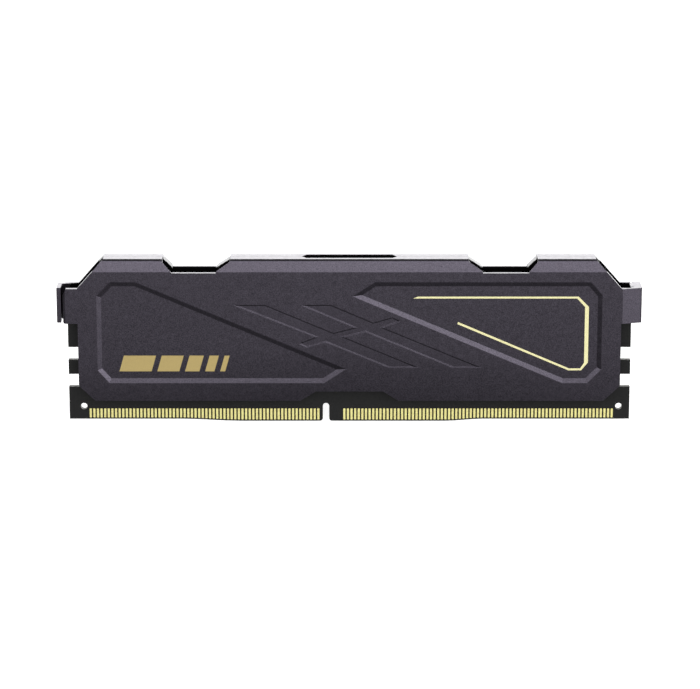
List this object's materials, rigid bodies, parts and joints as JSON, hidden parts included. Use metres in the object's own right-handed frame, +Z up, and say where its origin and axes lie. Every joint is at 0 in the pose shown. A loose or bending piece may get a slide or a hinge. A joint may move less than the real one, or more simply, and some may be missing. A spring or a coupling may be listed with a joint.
{
  "type": "memory module",
  "caption": "Desktop memory module: a keyed circuit board with gold edge contacts inside a two-shell dark aluminium heat spreader with recessed panels.",
  "frame": {"origin": "middle of the lowest stretch of the contact edge, on the board's mid-plane", "axes": "+X along the board (to the right seen from the printed front), +Y across its thickness towards the rear, +Z up away from the contact edge"},
  "size_m": [0.1379, 0.0078, 0.04],
  "materials": {
    "spreader": "dark anodised, fine bead-blasted satin",
    "board": "black solder mask, semi-matte",
    "contact_gold": "gold plated",
    "package": "moulded epoxy",
    "ceramic": "fired ceramic with plated ends",
    "resistor": "glazed",
    "pad": "soft silicone",
    "accent_print": "pale gold ink",
    "badge_print": "gold ink"
  },
  "bodies": {
    "root": {"pcb": "board", "contacts_front_left": "contact_gold", "contacts_front_right": "contact_gold", "contacts_rear_left": "contact_gold", "contacts_rear_right": "contact_gold", "front_shell": "spreader", "rear_shell": "spreader", "memory_chip_1": "package", "memory_chip_2": "package", "memory_chip_3": "package", "memory_chip_4": "package", "memory_chip_5": "package", "memory_chip_6": "package", "memory_chip_7": "package", "memory_chip_8": "package", "capacitor_1": "ceramic", "capacitor_2": "ceramic", "capacitor_3": "ceramic", "capacitor_4": "ceramic", "capacitor_5": "ceramic", "capacitor_6": "ceramic", "capacitor_7": "ceramic", "capacitor_8": "ceramic", "resistor_pack_1": "resistor", "resistor_pack_2": "resistor", "resistor_pack_3": "resistor", "resistor_pack_4": "resistor", "resistor_pack_5": "resistor", "resistor_pack_6": "resistor", "resistor_pack_7": "resistor", "resistor_pack_8": "resistor", "timing_memory": "package", "voltage_regulator": "package", "thermal_pad_front": "pad", "thermal_pad_rear": "pad", "accent_line": "accent_print", "badge_bar_1": "badge_print", "badge_bar_2": "badge_print", "badge_bar_3": "badge_print", "badge_bar_4": "badge_print", "badge_bar_5": "badge_print"}
  },
  "joints": []
}
